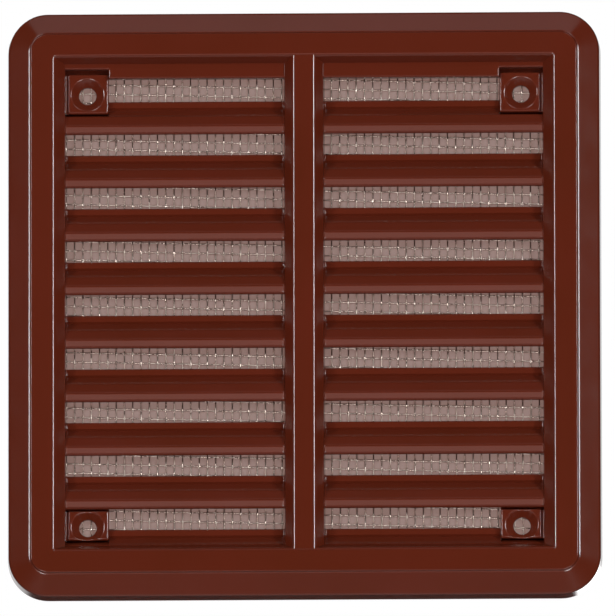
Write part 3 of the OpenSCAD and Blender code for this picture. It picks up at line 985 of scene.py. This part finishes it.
ROOM_FILL = 0.01    # level of the dim room in front of the grille

FLOOR_HALF, FLOOR_Z = 16, -2.6    # the pale floor's half side and its height, in metres
WALL_INSET = 4.5 * MM             # from the flange's outline to the edge of the backdrop


def stage_sheet(name, corners, material):
    """Flat rectangle of the stage, which isn't part of the grille."""
    mesh = bpy.data.meshes.new(name)
    mesh.from_pydata(corners, [], [(0, 1, 2, 3)])
    mesh.materials.append(material)
    sheet = bpy.data.objects.new(name, mesh)
    bpy.context.scene.collection.objects.link(sheet)


class GRILLE_OT_stage(bpy.types.Operator):
    """Set the camera, the lamps, the pale floor, the backdrop and the white surroundings"""
    bl_idname = "grille.stage"
    bl_label = "Stage"

    def execute(self, context):
        scene = context.scene
        self.add_camera(scene)
        self.add_lamps(scene)
        self.add_floor()
        self.add_wall_patch()
        self.light_world(scene)
        scene.view_settings.view_transform = "Standard"
        return {"FINISHED"}

    def add_camera(self, scene):
        """Camera whose sensor's half width over the lens is the half field over its distance."""
        camera = bpy.data.objects.new("camera", bpy.data.cameras.new("camera"))
        scene.collection.objects.link(camera)
        camera.data.lens = camera.data.sensor_width / 2 / (HALF_FIELD / CAMERA_AWAY)
        camera.data.clip_start = 0.05
        camera.data.clip_end = 100
        place = TARGET + CAMERA_AWAY * direction(CAMERA_AZIMUTH, CAMERA_ELEVATION)
        roll = Matrix.Rotation(-math.radians(CAMERA_ROLL), 4, "Z")
        camera.matrix_world = aimed(place, TARGET) @ roll
        scene.camera = camera

    def add_lamps(self, scene):
        """Area lamps: a lamp's power is its radiance times its area times pi."""
        for name, (azimuth, elevation, away, wide, high, radiance, code) in LAMPS.items():
            data = bpy.data.lights.new(name, "AREA")
            data.shape = "RECTANGLE"
            data.size = wide
            data.size_y = high
            data.energy = radiance * wide * high * math.pi
            data.color = linear(code)
            lamp = bpy.data.objects.new(name, data)
            scene.collection.objects.link(lamp)
            lamp.matrix_world = aimed(away * direction(azimuth, elevation), Vector((0, 0, 0)))
            lamp.visible_camera = False

    def add_floor(self):
        """Pale matt floor as far below the grille as under one high on a wall."""
        s, z = FLOOR_HALF, FLOOR_Z
        stage_sheet("floor", [(-s, -s, z), (s, -s, z), (s, s, z), (-s, s, z)],
                    self.one_sided("matt_floor_paint", "#f4f3f1")[0])

    def add_wall_patch(self):
        """Backdrop just behind the mesh, in a dull grey brown that is painted shade: a white wall
        as it looks in the grille's shadow, with painted brown light bounced from the plastic. It
        is seen from the front only, so that the back of the grille stays open to view, and eye and
        gloss see it glowing at one tone, as a shaded wall farther back."""
        s = HALF_W - WALL_INSET
        y = FLANGE_HI.y - SEAM
        low, high = MID_Z - s, MID_Z + s
        # The grey base colour and the grey-brown glow for eye and gloss are painted shade of a
        # white wall, tinted by painted bounce light from the brown plastic.
        material, tree, shader = self.one_sided("matt_backdrop", "#6a6260")
        path = add_node(tree, "ShaderNodeLightPath")
        seen = add_node(tree, "ShaderNodeMath", {"operation": "MAXIMUM"},
                        links={0: path.outputs["Is Camera Ray"], 1: path.outputs["Is Glossy Ray"]})
        # Painted shade with painted brown bounce light: the tone that eye and gloss see.
        shader.inputs["Emission Color"].default_value = (*linear("#745b54"), 1)
        tree.links.new(seen.outputs["Value"], shader.inputs["Emission Strength"])
        stage_sheet("wall_patch", [(-s, y, low), (s, y, low), (s, y, high), (-s, y, high)],
                    material)

    def one_sided(self, name, code):
        """Matt paint on a sheet that is seen from its front only."""
        material, tree, shader = material_tree(name)
        shader.inputs["Base Color"].default_value = (*linear(code), 1)
        shader.inputs["Roughness"].default_value = 0.9
        rear = add_node(tree, "ShaderNodeNewGeometry").outputs["Backfacing"]
        clear = add_node(tree, "ShaderNodeBsdfTransparent")
        mix = add_node(tree, "ShaderNodeMixShader",
                       links={0: rear, 1: shader.outputs["BSDF"], 2: clear.outputs["BSDF"]})
        tree.links.new(mix.outputs["Shader"], tree.nodes["Material Output"].inputs["Surface"])
        return material, tree, shader

    def light_world(self, scene):
        """White behind the grille, for the camera, for gloss and for light let through; a dim
        room on the camera's side, which leaves the flat faces their own colour."""
        world = bpy.data.worlds.new("studio")
        world.use_nodes = True
        scene.world = world
        tree = world.node_tree
        back = tree.nodes["Background"]
        path = add_node(tree, "ShaderNodeLightPath")
        way = add_node(tree, "ShaderNodeTexCoord")
        parts = add_node(tree, "ShaderNodeSeparateXYZ", links={"Vector": way.outputs["Generated"]})
        behind = add_node(tree, "ShaderNodeMapRange", values={"From Min": 0.5, "From Max": 0.9},
                          links={"Value": parts.outputs["Y"]})
        gloss = add_node(tree, "ShaderNodeMath", {"operation": "MULTIPLY"},
                         links={0: path.outputs["Is Glossy Ray"], 1: behind.outputs["Result"]})
        seen = add_node(tree, "ShaderNodeMath", {"operation": "MAXIMUM"},
                        links={0: path.outputs["Is Camera Ray"],
                               1: path.outputs["Is Transmission Ray"]})
        white = add_node(tree, "ShaderNodeMath", {"operation": "MAXIMUM"},
                         links={0: gloss.outputs["Value"], 1: seen.outputs["Value"]})
        level = add_node(tree, "ShaderNodeMapRange", values={"To Min": ROOM_FILL},
                         links={"Value": white.outputs["Value"]})
        back.inputs["Color"].default_value = (1, 1, 1, 1)
        tree.links.new(level.outputs["Result"], back.inputs["Strength"])


class GRILLE_PT_panel(bpy.types.Panel):
    """Sizes, finishes and build steps of the grille"""
    bl_idname = "GRILLE_PT_panel"
    bl_label = "Ventilation grille"
    bl_space_type = "VIEW_3D"
    bl_region_type = "UI"
    bl_category = "Grille"

    def draw(self, context):
        for group, kind in GROUPS.items():
            column = self.layout.column(align=True)
            for key in kind.__annotations__:
                column.prop(getattr(context.scene, group), key)
        for step in STEPS:
            self.layout.operator(step.bl_idname)


STEPS = (
    GRILLE_OT_front_frame,
    GRILLE_OT_mullion,
    GRILLE_OT_louvres,
    GRILLE_OT_valances_and_sills,
    GRILLE_OT_screw_pads,
    GRILLE_OT_wire_mesh,
    GRILLE_OT_stage,
)


def register():
    for kind in (*GROUPS.values(), *STEPS, GRILLE_PT_panel):
        bpy.utils.register_class(kind)
    for name, kind in GROUPS.items():
        setattr(bpy.types.Scene, name, PointerProperty(type=kind))


def unregister():
    for name in GROUPS:
        delattr(bpy.types.Scene, name)
    for kind in (GRILLE_PT_panel, *reversed(STEPS), *reversed(tuple(GROUPS.values()))):
        bpy.utils.unregister_class(kind)


def main():
    register()
    bpy.ops.grille.front_frame()
    bpy.ops.grille.mullion()
    bpy.ops.grille.louvres()
    bpy.ops.grille.valances_and_sills()
    bpy.ops.grille.screw_pads()
    bpy.ops.grille.wire_mesh()
    bpy.ops.grille.stage()


if __name__ == "__main__":
    main()
